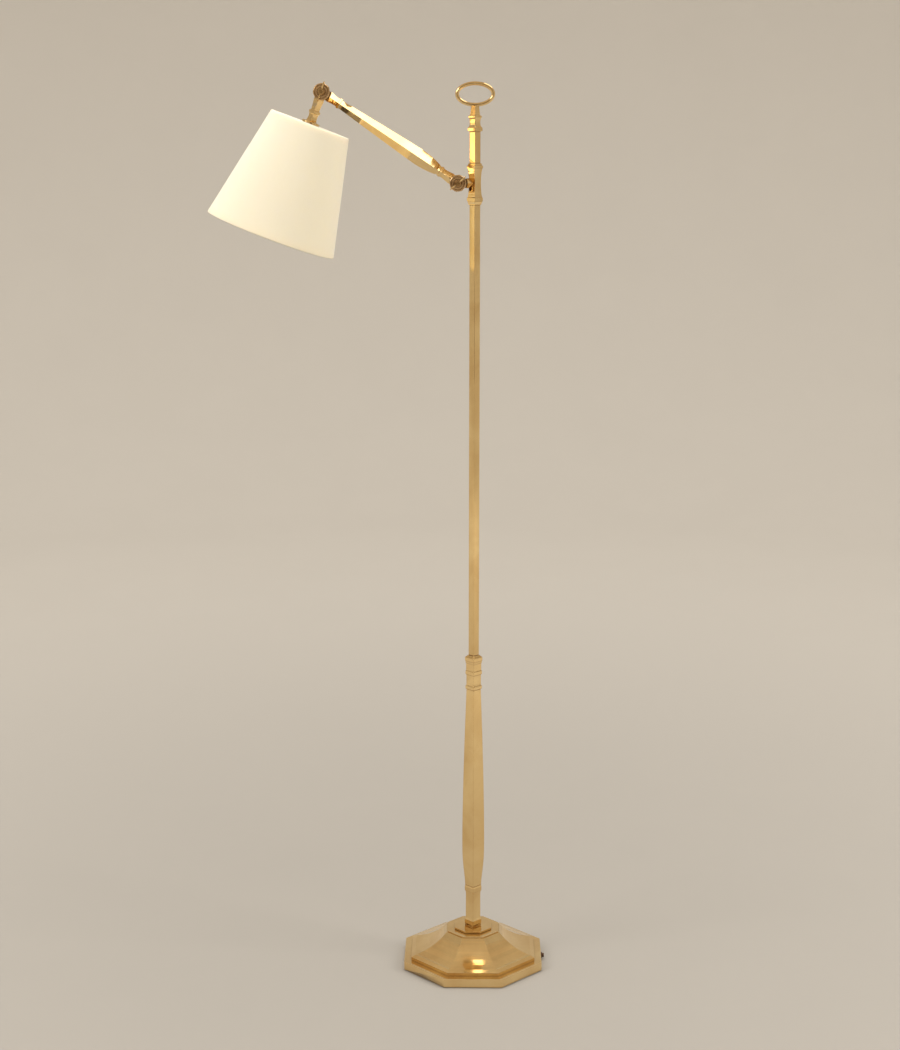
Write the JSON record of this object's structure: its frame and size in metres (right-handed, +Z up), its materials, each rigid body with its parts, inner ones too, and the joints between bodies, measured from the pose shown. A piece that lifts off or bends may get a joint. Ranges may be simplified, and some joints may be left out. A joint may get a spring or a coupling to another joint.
{
  "type": "adjustable arm floor lamp",
  "caption": "Floor lamp with an octagonal coved base, square turned brass column, ring handle, hinged arm on wing-nut knuckles and a tilting cone shade.",
  "frame": {"origin": "centre of the felt pad's underside, on the column's axis", "axes": "+Z up along the column; the arm reaches towards -X; the front of the lamp is -Y and both hinge axes lie along Y"},
  "size_m": [0.5865, 0.25, 1.5772],
  "materials": {
    "brass": "polished and lacquered",
    "bronze": "toned brass",
    "iron": "rough cast",
    "steel": "plain",
    "wire": "white coated wire",
    "shade": "cream cloth on a stiff backing",
    "felt": "felt",
    "gland": "moulded",
    "bakelite": "moulded",
    "flex": "gold flex",
    "fibre": "pressed fibre",
    "tin": "satin",
    "ceramic": "white",
    "bulb": "frosted"
  },
  "bodies": {
    "stand": {"felt_pad": "felt", "base_plinth": "brass", "base_weight": "iron", "base_cover": "brass", "seat_plate": "brass", "cable_gland": "gland", "tie_tube": "steel", "tie_nut": "steel", "tie_washer": "steel", "column_foot": "brass", "baluster": "brass", "column_collar": "brass", "pole": "brass", "elbow_collar": "brass", "upper_stem": "brass", "stem_cap": "brass", "stem_stud": "steel", "ring_handle": "brass", "column_cable": "flex", "elbow_bolt": "bronze", "elbow_friction_washer": "fibre"},
    "arm": {"arm_elbow_end": "brass", "arm_bar": "brass", "arm_head_end": "brass", "arm_cable": "flex", "elbow_disc": "brass", "head_bolt": "bronze", "head_friction_washer": "fibre"},
    "head": {"head_stem": "brass", "gallery_disc": "brass", "head_cable": "flex", "head_disc": "brass", "holder_nipple": "steel", "shade_spider": "wire", "shade_bottom_wire": "wire", "shade_cover": "shade", "holder_cap": "brass", "holder_body": "bakelite", "holder_contacts": "bronze", "bulb_cap": "tin", "bulb_glass": "bulb", "bulb_mount": "ceramic"},
    "elbow_knob": {"elbow_wing_nut": "brass"},
    "head_knob": {"head_wing_nut": "brass"}
  },
  "joints": [
    {"name": "elbow", "type": "hinge", "parent": "stand", "child": "arm", "pos_m": [-0.029, 0, 1.4085], "axis": [0, 1, 0], "range_deg": [-45, 15]},
    {"name": "shade_tilt", "type": "hinge", "parent": "arm", "child": "head", "pos_m": [-0.25858, 0, 1.55988], "axis": [0, 1, 0], "range_deg": [-12, 60]},
    {"name": "elbow_wing_turn", "type": "hinge", "parent": "stand", "child": "elbow_knob", "pos_m": [-0.029, 0, 1.4085], "axis": [0, -1, 0], "range_deg": [0, 180]},
    {"name": "head_wing_turn", "type": "hinge", "parent": "arm", "child": "head_knob", "pos_m": [-0.25858, 0, 1.55988], "axis": [0, -1, 0], "range_deg": [0, 180]}
  ]
}
